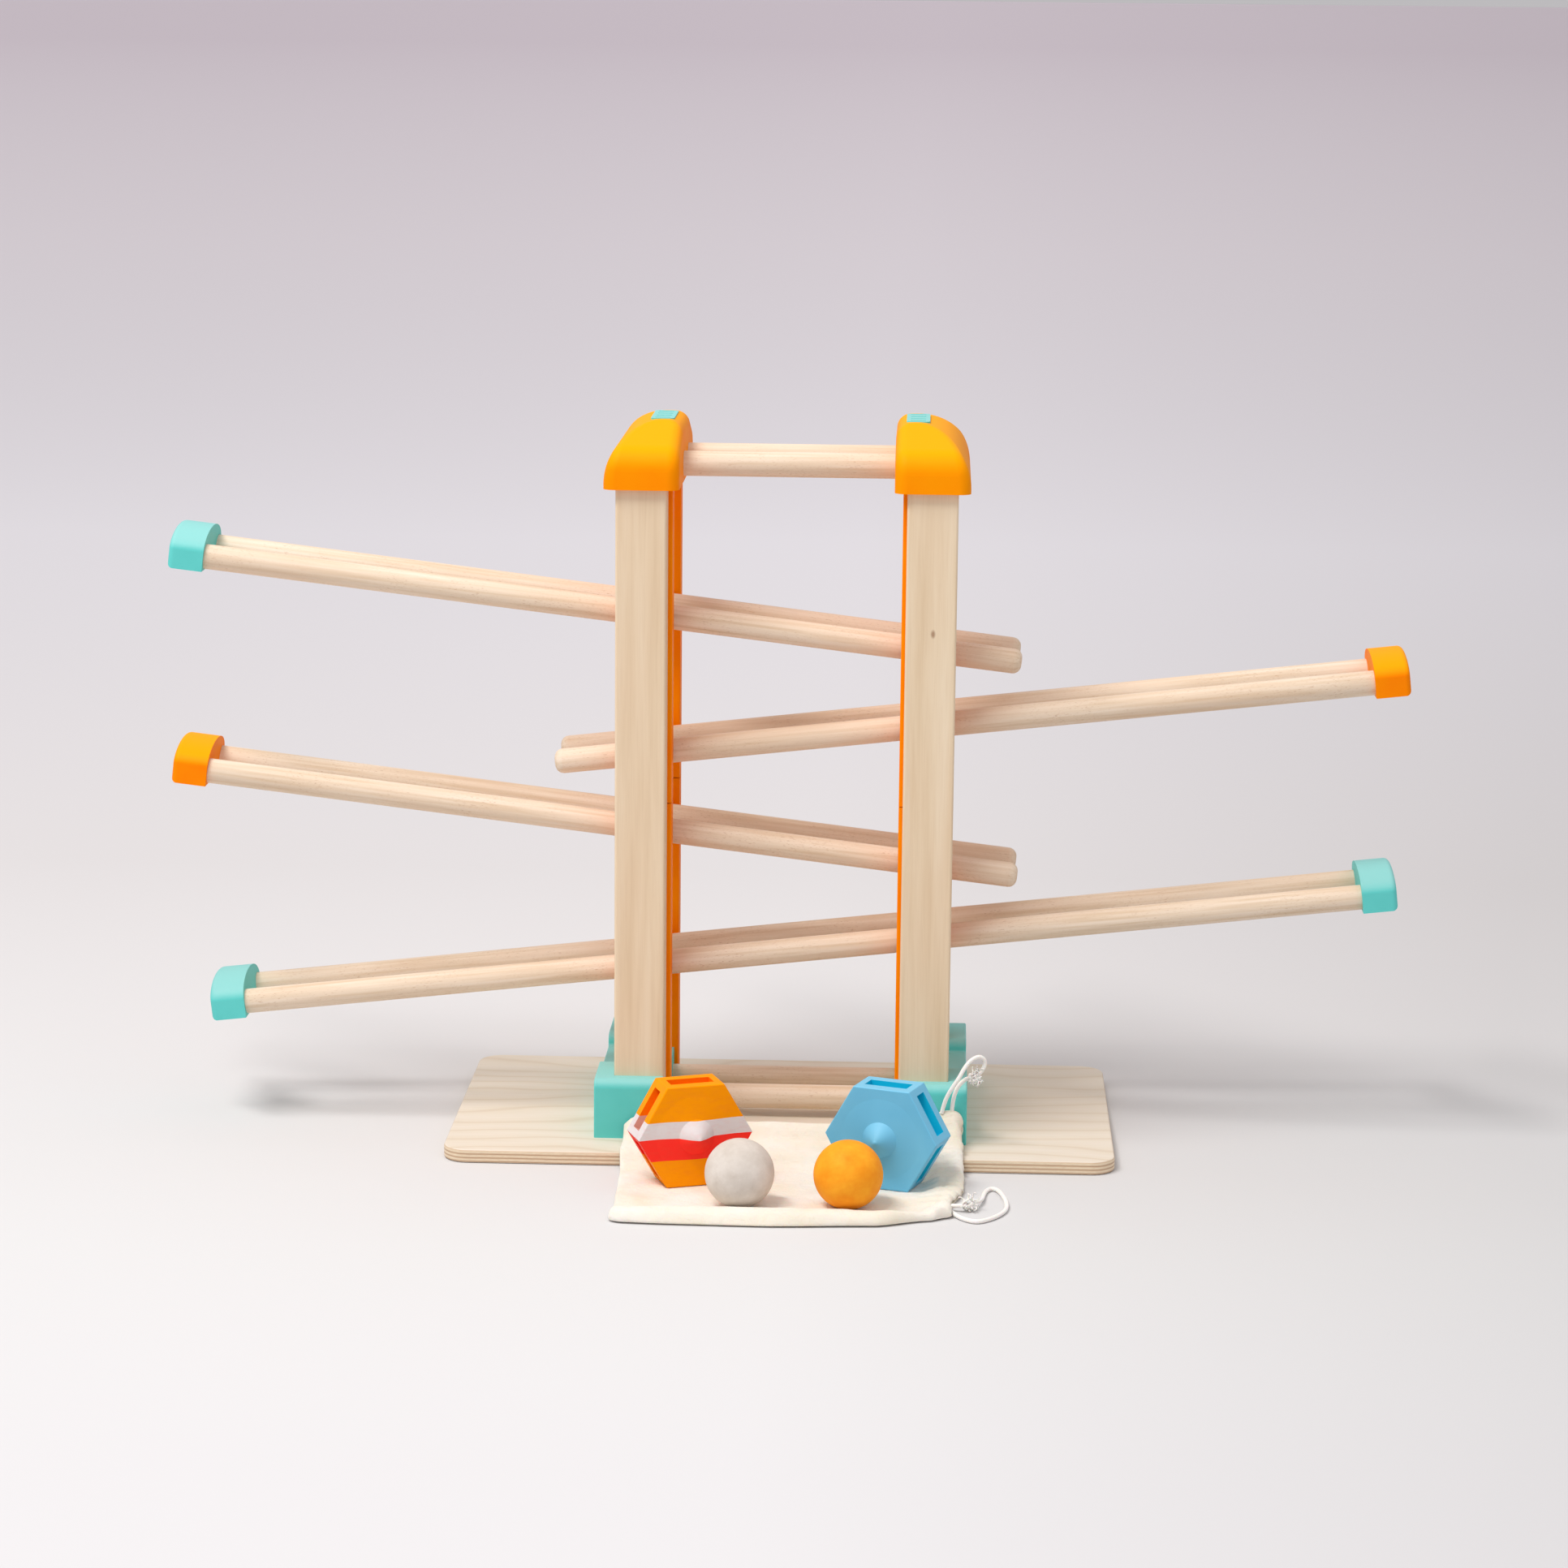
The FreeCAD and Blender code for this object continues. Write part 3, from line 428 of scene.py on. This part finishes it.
def dress_frame():
    level = dowel_wood("dowel_wood_level", 0.0)
    falling = dowel_wood("dowel_wood_falling", RAIL_SLOPE)
    rising = dowel_wood("dowel_wood_rising", -RAIL_SLOPE)
    # For each printed plastic the third colour is a painted highlight for upward faces; the blue's last
    # colour is painted shade for its slots.
    orange = printed_plastic("orange_plastic", colour(255, 150, 0), colour(255, 128, 0),
                             colour(255, 164, 0), 0.05)
    bright_orange = printed_plastic("orange_plastic_caps", colour(255, 158, 0), colour(255, 142, 0),
                                    colour(255, 168, 0), 0.04)
    teal = printed_plastic("teal_plastic", colour(106, 214, 208), colour(92, 200, 194),
                           colour(138, 204, 200), 0.2)
    blue = printed_plastic("blue_plastic", colour(116, 194, 228), colour(98, 180, 218),
                           colour(124, 198, 230), 0.3, colour(10, 188, 220))
    looks = {
        "board_wood": board_wood(),
        "orange_plastic": orange,
        "teal_plastic": teal,
        "blue_plastic": blue,
        "screw_steel": screw_steel(),
        "plywood": plywood(),
        "striped_plastic": striped_plastic(),
        "grey_ball_plastic": painted_ball("grey_ball", colour(222, 213, 204), colour(204, 193, 182)),
        "orange_ball_plastic": painted_ball("orange_ball", colour(255, 172, 40), colour(246, 146, 20)),
    }
    for part in frame["record"]["subparts"]:
        name, slot_name = part["node"], part["material_slot"]
        if name.startswith("cap_"):
            dress(name, bright_orange)
        elif slot_name in looks:
            dress(name, looks[slot_name])
        elif name.startswith(("rail_1", "rail_3")):
            dress(name, falling)
        elif name.startswith(("rail_2", "rail_4")):
            dress(name, rising)
        elif slot_name == "dowel_wood":
            dress(name, level)


dress_frame()

# ---------------------------------------------------------------- drawcords

CORD_DIAMETER = 0.0025
KNOT_SIZE = 0.0040
KNOT_STEPS = 18
THREAD_RADIUS = 0.0005
THREAD_SIDES = 6
THREAD_STEPS = 12
THREAD_TAPER = 0.25
FRAY_LENGTH = 0.0085
FRAY_THREADS = 14
FRAY_SPREAD = 0.0024
FRAY_SEED = 11
UPPER_CORD = [
    (0.0968, -0.0860, 0.0295), (0.0982, -0.0868, 0.0360), (0.1006, -0.0878, 0.0420),
    (0.1040, -0.0880, 0.0476), (0.1070, -0.0876, 0.0522), (0.1097, -0.0860, 0.0574),
    (0.1136, -0.0836, 0.0620), (0.1188, -0.0810, 0.0640), (0.1226, -0.0793, 0.0606),
    (0.1212, -0.0794, 0.0552), (0.1166, -0.0808, 0.0508), (0.1113, -0.0824, 0.0504),
    (0.1070, -0.0834, 0.0468), (0.1044, -0.0840, 0.0415), (0.1032, -0.0840, 0.0355),
    (0.1028, -0.0840, 0.0295),
]
LOWER_CORD = [
    (0.1005, -0.1900, 0.0024), (0.1040, -0.1980, 0.0016), (0.1092, -0.2065, 0.00135),
    (0.1168, -0.2123, 0.00135), (0.1238, -0.2070, 0.00135), (0.1306, -0.1975, 0.00135),
    (0.1346, -0.1862, 0.00135), (0.1348, -0.1736, 0.00135), (0.1330, -0.1600, 0.00135),
    (0.1300, -0.1478, 0.00135), (0.1256, -0.1450, 0.00135), (0.1224, -0.1525, 0.00135),
    (0.1212, -0.1630, 0.0015), (0.1204, -0.1730, 0.0026), (0.1165, -0.1830, 0.0038),
    (0.1095, -0.1900, 0.0038), (0.1030, -0.1870, 0.0030),
]
UPPER_FRAYS = ((0.2, -0.3, -1.0), (1.0, -0.2, 0.5), (0.8, 0.1, 0.9))
LOWER_FRAYS = ((-1.0, 0.5, 0.5), (-0.6, -0.6, 0.3), (0.8, 0.4, 0.3), (-0.2, 0.8, 0.8))


def nurbs_tube(name, points, radius, material):
    """A round tube on a smooth spline with these control points."""
    data = bpy.data.curves.new(name, "CURVE")
    data.dimensions = "3D"
    spline = data.splines.new("NURBS")
    spline.points.add(len(points) - 1)
    for point, place in zip(spline.points, points):
        point.co = (*place, 1)
    spline.order_u = 3
    spline.use_endpoint_u = True
    data.resolution_u = 10
    data.bevel_depth = radius
    data.bevel_resolution = 5
    data.use_fill_caps = True
    data.materials.append(material)
    return link(bpy.data.objects.new(name, data))


def knot_loops(centre, turn):
    """Points of an overhand knot: three small lobes about a centre, tipped by turn."""
    tip = Matrix.Rotation(turn, 3, "X") @ Matrix.Rotation(turn * 0.7, 3, "Z")
    points = []
    for step in range(KNOT_STEPS + 1):
        angle = 2 * math.pi * step / KNOT_STEPS
        reach = KNOT_SIZE * (1 + 0.55 * math.cos(angle * 3)) / 2
        local = Vector((reach * math.cos(angle * 2), reach * math.sin(angle * 2),
                        KNOT_SIZE * 0.34 * math.sin(angle * 3)))
        points.append(centre + tip @ local)
    return points


def random_vector(chance, size):
    return Vector([chance.uniform(-size, size) for _ in range(3)])


def thread_tube(mesh, path):
    """Adds a thin closed tube along a path, tapering to its end."""
    rings = []
    for index, place in enumerate(path):
        ahead = path[min(index + 1, len(path) - 1)] - path[max(index - 1, 0)]
        side = ahead.orthogonal().normalized()
        other = ahead.cross(side).normalized()
        size = THREAD_RADIUS * (1 - THREAD_TAPER * index / (len(path) - 1))
        ring = []
        for corner in range(THREAD_SIDES):
            angle = 2 * math.pi * corner / THREAD_SIDES
            offset = side * math.cos(angle) + other * math.sin(angle)
            ring.append(mesh.verts.new(place + offset * size))
        rings.append(ring)
    for first, second in zip(rings, rings[1:]):
        for corner in range(THREAD_SIDES):
            following = (corner + 1) % THREAD_SIDES
            mesh.faces.new((first[corner], first[following], second[following], second[corner]))
    mesh.faces.new(list(reversed(rings[0])))
    mesh.faces.new(rings[-1])


def thread_path(chance, start, direction):
    """One loose thread's curling path, kept above the floor."""
    heading = (Vector(direction) + random_vector(chance, 0.6)).normalized()
    place = start + random_vector(chance, FRAY_SPREAD)
    twist = random_vector(chance, 1).normalized()
    reach = FRAY_LENGTH * chance.uniform(0.6, 1.0)
    path = [place.copy()]
    for _ in range(THREAD_STEPS):
        curl = twist.cross(heading) + random_vector(chance, 0.5)
        heading = (heading + curl * 0.4).normalized()
        place = place + heading * reach / THREAD_STEPS
        place.z = max(place.z, THREAD_RADIUS + 0.0001)
        path.append(place.copy())
    return path


def smooth_object(name, mesh, material):
    """An object with smooth faces, made from a finished bmesh."""
    data = bpy.data.meshes.new(name)
    mesh.to_mesh(data)
    mesh.free()
    for polygon in data.polygons:
        polygon.use_smooth = True
    data.materials.append(material)
    return link(bpy.data.objects.new(name, data))


def frayed_strands(name, start, directions, material):
    """A cord end untwisted into loose threads that fan out and curl; one mesh of thin tubes."""
    chance = random.Random(FRAY_SEED)
    mesh = bmesh.new()
    for direction in directions:
        for _ in range(FRAY_THREADS):
            thread_tube(mesh, thread_path(chance, start, direction))
    return smooth_object(name, mesh, material)


def make_drawcord(name, route, knot_turn, fray_ways, material, loose_cotton):
    """A drawcord loop with its knot and frayed ends; both ends go into the bag's hem."""
    centre = Vector(centre_mm("knot_" + name)) * MM
    cord = nurbs_tube("cord_" + name, route, CORD_DIAMETER / 2, material)
    knot = nurbs_tube("cord_knot_" + name, knot_loops(centre, knot_turn), CORD_DIAMETER * 0.48, material)
    fray = frayed_strands("cord_fray_" + name, centre, fray_ways, loose_cotton)
    for piece in (cord, knot, fray):
        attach(piece, "bag")
    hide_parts("drawcord_" + name)
    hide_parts("knot_" + name)


def make_drawcords():
    material = cord_cotton("cord_cotton", 0.6)
    loose_cotton = cord_cotton("cord_fray_cotton", 0.05)
    make_drawcord("upper", UPPER_CORD, 0.5, UPPER_FRAYS, material, loose_cotton)
    make_drawcord("lower", LOWER_CORD, 0.25, LOWER_FRAYS, material, loose_cotton)


make_drawcords()

# ---------------------------------------------------------------- bag

# Plan lines and heights are in millimetres.
PLATE_FRONT = round(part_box("base_plate")[0].y / MM, 1)
PLATE_TOP = round(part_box("base_plate")[1].z / MM, 1)
REST_HEIGHT = round(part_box("ball_grey")[0].z / MM, 1)
BALLS = (centre_mm("ball_grey"), centre_mm("ball_orange"))
BALL_RADIUS = 20.0
WHEELS = ((centre_mm("wheel_striped"), STRIPED_TURN), (centre_mm("wheel_blue"), BLUE_TURN))
WHEEL_HALF_FLAT = 17.3
WHEEL_HALF_THICKNESS = 12.5
BAG_FRONT = -225.0
BAG_BACK = -80.9
BAG_CORNER = 9.0
CLOTH_WIDTH = 203.0
CLOTH_DEPTH = 145.0
EDGE_STEPS = (0.25, 0.5, 0.8, 1.1, 1.5)
HEM_WIDTH = 12.0
RIM_SHARE = 0.22
MOUTH_TURN_IN = ((0.5, 0.86), (3.0, 0.72), (7.0, 0.4), (7.0, -0.4), (3.0, -0.72), (0.5, -0.86))
FRONT_LINE = ((-91, -224.5), (-60, -226), (0, -227), (60, -222.5), (90, -210.5), (100, -204.5),
              (108, -198))
BACK_HEIGHTS = ((-94, 19), (-88, 24), (-80, 26), (-60, 23.5), (-13, 22), (27, 21.4), (60, 22.5),
                (86, 24.5), (94, 28.5), (98, 31.5), (104, 32), (107, 28.5), (109, 22))
MIDDLE_TOP = ((-227, 2.8), (-222, 6.4), (-216, 7.8), (-210, 6.2), (-205, 3.4), (-198, 2.3), (-124, 2.4),
              (-117, 4.4), (-110, 10.2), (-100, 10.9), (-92, 12.4), (-86, 18.5), (-80, 22))
MOUTH_TOP = ((-227, 4.5), (-210, 6.5), (-200, 8.0), (-186, 5.4), (-130, 6.2), (-120, 9.0), (-110, 15.0),
             (-98, 18.0), (-91, 24.0), (-86, 29.5), (-80, 31.5))


def step_up(low, high, value):
    """0 below low, 1 above high, and a smooth step between."""
    part = min(max((value - low) / (high - low), 0.0), 1.0)
    return part * part * (3 - 2 * part)


def along(points, place):
    """The height at place of a softened line through points (place, height)."""
    if place <= points[0][0]:
        return points[0][1]
    for (start, low), (end, high) in zip(points, points[1:]):
        if place <= end:
            straight = (place - start) / (end - start)
            return low + (high - low) * (step_up(start, end, place) + straight) / 2
    return points[-1][1]


def rounded(share):
    """A quarter circle's rise: 0 at 0, level at 1."""
    return math.sqrt(max(1 - (1 - share) ** 2, 0.0))


def ripple(x, y, scale, seed):
    return noise.noise(Vector((x / scale, y / scale, seed)))


def bag_under(x, y):
    """Height of the cloth's lower layer: on the floor, up the plate's front edge and along its top."""
    climb = step_up(PLATE_FRONT - 8, PLATE_FRONT - 0.4, y)
    lean = step_up(-92, BAG_BACK, y) ** 1.6
    back = along(BACK_HEIGHTS, x) - 3.2
    return 0.3 + (PLATE_TOP + 0.1) * climb + (back - PLATE_TOP) * lean


def bag_roof(x, y):
    """The highest that the cloth may be under the balls and wheels."""
    limit = 40.0
    for centre in BALLS:
        away = math.hypot(x - centre[0], y - centre[1])
        if away < BALL_RADIUS:
            limit = min(limit, REST_HEIGHT + BALL_RADIUS - math.sqrt(BALL_RADIUS ** 2 - away ** 2) - 0.3)
    for centre, turn in WHEELS:
        angle = math.radians(turn)
        local_x = (x - centre[0]) * math.cos(angle) + (y - centre[1]) * math.sin(angle)
        local_y = (y - centre[1]) * math.cos(angle) - (x - centre[0]) * math.sin(angle)
        if abs(local_y) < WHEEL_HALF_THICKNESS + 0.8:
            beyond = max(abs(local_x) - WHEEL_HALF_FLAT - 0.5, 0.0)
            limit = min(limit, REST_HEIGHT - 0.3 + beyond * 1.6)
    return limit


def bag_top(x, y):
    """Height of the cloth's upper layer, with its soft folds and the gathers at the mouth."""
    mouth = step_up(84, 99, x)
    middle = along(MIDDLE_TOP, y)
    lean = step_up(-94, -80, y)
    middle += (along(BACK_HEIGHTS, x) - 22) * lean
    flank = along(MOUTH_TOP, y)
    height = middle * (1 - mouth) + flank * mouth
    free = 1 - 0.55 * mouth
    height += free * 1.9 * max(ripple(x * 0.7 + y * 0.3, y * 1.3, 34, 1.7), -0.25)
    height += free * 0.9 * max(ripple(x, y, 15, 5.1), -0.2)
    travel = y + 0.9 * along(MOUTH_TOP, y)
    gather = math.sin(travel * 0.72 + 2.2 * ripple(x, y, 30, 9.3))
    depth = 0.6 + 0.8 * abs(ripple(x, y, 22, 3.3))
    height += step_up(80, 98, x) * 1.7 * gather * depth
    seam = (x - bag_right(y) + HEM_WIDTH) / 1.3
    height -= 0.9 * math.exp(-seam * seam)
    return height


def bag_left(y):
    return -91.5 - 2.0 * step_up(-180, -90, y) + 1.2 * ripple(0, y, 30, 2.0)


def bag_right(y):
    reach = 103 + 7.2 * step_up(-206, -168, y) - 1.7 * step_up(-130, -96, y)
    lumps = 1.0 + 1.4 * step_up(-125, -95, y)
    return reach + lumps * ripple(4, y, 7, 6.0)


def spread_steps(length, step):
    """Places from 0 to length that crowd together at both ends."""
    places = []
    total = 0.0
    for size in EDGE_STEPS:
        places.append(total)
        total += size
    inner = length - 2 * total
    count = max(int(round(inner / step)), 1)
    middle = [total + inner * index / count for index in range(count + 1)]
    return places + middle + [length - place for place in reversed(places)]


def bag_grid():
    """Plan places of the cloth's grid: rows from front to back, columns from left to right."""
    columns = [place / CLOTH_WIDTH for place in spread_steps(CLOTH_WIDTH, 1.9)]
    rows = [place / CLOTH_DEPTH for place in spread_steps(CLOTH_DEPTH, 1.7)]
    grid = []
    for row in rows:
        line = []
        for column in columns:
            rough_y = BAG_FRONT + (BAG_BACK - BAG_FRONT) * row
            left = bag_left(rough_y)
            x = left + (bag_right(rough_y) - left) * column
            into = min(max(x - left, 0.0), BAG_CORNER) / BAG_CORNER
            front = along(FRONT_LINE, x) + BAG_CORNER * 0.6 * (1 - rounded(into))
            line.append((x, front + (BAG_BACK - front) * row))
        grid.append(line)
    return grid, rows, columns


def rim_share(rows, columns, row, column):
    """How far the two layers have parted: 0 at the rim, 1 from a few millimetres in."""
    from_front = rows[row] * CLOTH_DEPTH / 4.5
    from_back = (1 - rows[row]) * CLOTH_DEPTH / 3.0
    from_left = columns[column] * CLOTH_WIDTH / 4.0
    return rounded(min(from_front, from_back, from_left, 1.0))


def hem_share(columns, column):
    """The layers close in on each other toward the mouth's edge, like a padded hem."""
    return 0.3 + 0.7 * rounded(min((1 - columns[column]) * CLOTH_WIDTH / 5.0, 1.0))


def bag_layers(grid, rows, columns):
    """Points of the upper and the lower layer, which meet along the front, back and left rims."""
    upper = []
    lower = []
    for row, line in enumerate(grid):
        high_line = []
        low_line = []
        for column, (x, y) in enumerate(line):
            low = bag_under(x, y)
            high = min(max(bag_top(x, y), low + 1.3), max(bag_roof(x, y), low + 0.6))
            share = rim_share(rows, columns, row, column) * hem_share(columns, column)
            middle = low + (high - low) * RIM_SHARE
            high_line.append(Vector((x, y, middle + (high - middle) * share)))
            low_line.append(Vector((x, y, middle + (low - middle) * share)))
        upper.append(high_line)
        lower.append(low_line)
    return upper, lower


def skin(mesh, lines, flip):
    """Faces between lines of vertices."""
    for first, second in zip(lines, lines[1:]):
        for index in range(len(first) - 1):
            corners = [first[index], first[index + 1], second[index + 1], second[index]]
            corners = list(dict.fromkeys(corners))
            if len(corners) > 2:
                mesh.faces.new(list(reversed(corners)) if flip else corners)


def inside(high, low, inward, share):
    """A point between two edge vertices, set in from the mouth."""
    middle = (high.co + low.co) / 2
    half = (high.co.z - low.co.z) / 2
    return (middle.x - inward * MM, middle.y, middle.z + half * share)


def mouth_pocket(mesh, upper, lower):
    """The open mouth: both layers turn in at the right edge and run a little way back inside."""
    top_edge = [line[-1] for line in upper]
    low_edge = [line[-1] for line in lower]
    pairs = list(zip(top_edge, low_edge))[1:-1]
    lines = [top_edge]
    for inward, share in MOUTH_TURN_IN:
        made = [mesh.verts.new(inside(high, low, inward, share)) for high, low in pairs]
        lines.append([top_edge[0]] + made + [top_edge[-1]])
    lines.append(low_edge)
    skin(mesh, lines, False)


def bag_mesh():
    """Both layers of the cloth, joined at the rims, with the open mouth on the right."""
    grid, rows, columns = bag_grid()
    upper_points, lower_points = bag_layers(grid, rows, columns)
    mesh = bmesh.new()
    upper = [[mesh.verts.new(point * MM) for point in line] for line in upper_points]
    lower = []
    for row, line in enumerate(lower_points):
        made = []
        for column, point in enumerate(line):
            on_rim = row in (0, len(rows) - 1) or column == 0
            made.append(upper[row][column] if on_rim else mesh.verts.new(point * MM))
        lower.append(made)
    skin(mesh, upper, False)
    skin(mesh, lower, True)
    mouth_pocket(mesh, upper, lower)
    bmesh.ops.recalc_face_normals(mesh, faces=mesh.faces)
    return mesh


def make_bag():
    """The empty drawstring bag that lies under the balls and wheels."""
    cloth = smooth_object("bag_cloth", bag_mesh(), bag_cotton())
    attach(cloth, "bag")
    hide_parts("bag")


make_bag()

# ---------------------------------------------------------------- floor and light

FLOOR_SIZE = 200.0
FLOOR_GAP = 0.0002
# Painted light on the floor: shade by distance, and side light that is brighter on the left.
FLOOR_PAINTED_FALLOFF = [(0.05, colour(216, 214, 215)), (0.09, colour(218, 217, 217)), (0.18, colour(220, 216, 216)),
                (0.30, colour(243, 239, 243)), (0.5, colour(241, 233, 238)), (0.87, colour(226, 214, 222))]
FLOOR_PAINTED_SIDE_LIGHT = [(0.12, colour(251, 251, 251)), (0.5, colour(255, 255, 255)), (0.88, colour(239, 239, 239))]
SKY_HORIZON = (0.60, 0.585, 0.60, 1)
SKY_TOP = (1.0, 0.99, 1.0, 1)


def make_floor():
    """A pale floor that runs to the horizon, with painted shade that greys it with distance and painted
    light that makes it lighter on the left.
    """
    material, tree, shader = new_material("floor")
    across = axis_of(tree, plain_place(tree), "X")
    back = axis_of(tree, plain_place(tree), "Y")
    # Painted shade: darker far away and a little darker close in front, standing in for light that falls
    # off.
    depth = math_node(tree, "LOGARITHM", math_node(tree, "ADD", back, 3.0), 10.0)
    painted_distance_shade = ramp(tree, map_range(tree, depth, 0.3, 1.8), FLOOR_PAINTED_FALLOFF)
    # Painted light: lighter on the left and darker on the right, as if lit from the left.
    reach = math_node(tree, "ADD", math_node(tree, "ABSOLUTE", back), 2.6)
    side = math_node(tree, "DIVIDE", across, reach)
    tone = ramp(tree, map_range(tree, side, -0.22, 0.22), FLOOR_PAINTED_SIDE_LIGHT)
    tree.links.new(mix(tree, 1.0, painted_distance_shade, tone, "MULTIPLY"), shader.inputs["Base Color"])
    set_shader(shader, Roughness=0.8, Specular_IOR_Level=0.1)
    half = FLOOR_SIZE / 2
    data = bpy.data.meshes.new("floor")
    corners = [(-half, -half, 0), (half, -half, 0), (half, half, 0), (-half, half, 0)]
    data.from_pydata(corners, [], [(0, 1, 2, 3)])
    data.materials.append(material)
    floor = link(bpy.data.objects.new("floor", data))
    floor.location.z = -FLOOR_GAP


def area_light(name, place, target, size, power, tint):
    data = bpy.data.lights.new(name, "AREA")
    data.shape = "RECTANGLE"
    data.size, data.size_y = size
    data.energy = power
    data.color = tint
    light = link(bpy.data.objects.new(name, data))
    light.location = place
    light.rotation_euler = (Vector(target) - Vector(place)).to_track_quat("-Z", "Y").to_euler()


def make_light():
    """A wide soft key overhead and a little in front, in a room that is brighter above."""
    area_light("key", (-0.95, -0.95, 2.5), (0, 0, 0.1), (1.6, 0.4), 50, (1.0, 0.99, 0.975))
    world = bpy.data.worlds.new("studio")
    world.use_nodes = True
    tree = world.node_tree
    direction = add(tree, "ShaderNodeTexCoord").outputs["Generated"]
    height = axis_of(tree, direction, "Z")
    sky = ramp(tree, height, [(0.0, SKY_HORIZON), (0.25, SKY_HORIZON), (0.8, SKY_TOP)])
    tree.links.new(sky, tree.nodes["Background"].inputs["Color"])
    tree.nodes["Background"].inputs["Strength"].default_value = 0.85
    scene = bpy.context.scene
    scene.world = world
    scene.view_settings.view_transform = "Standard"


make_floor()
make_light()
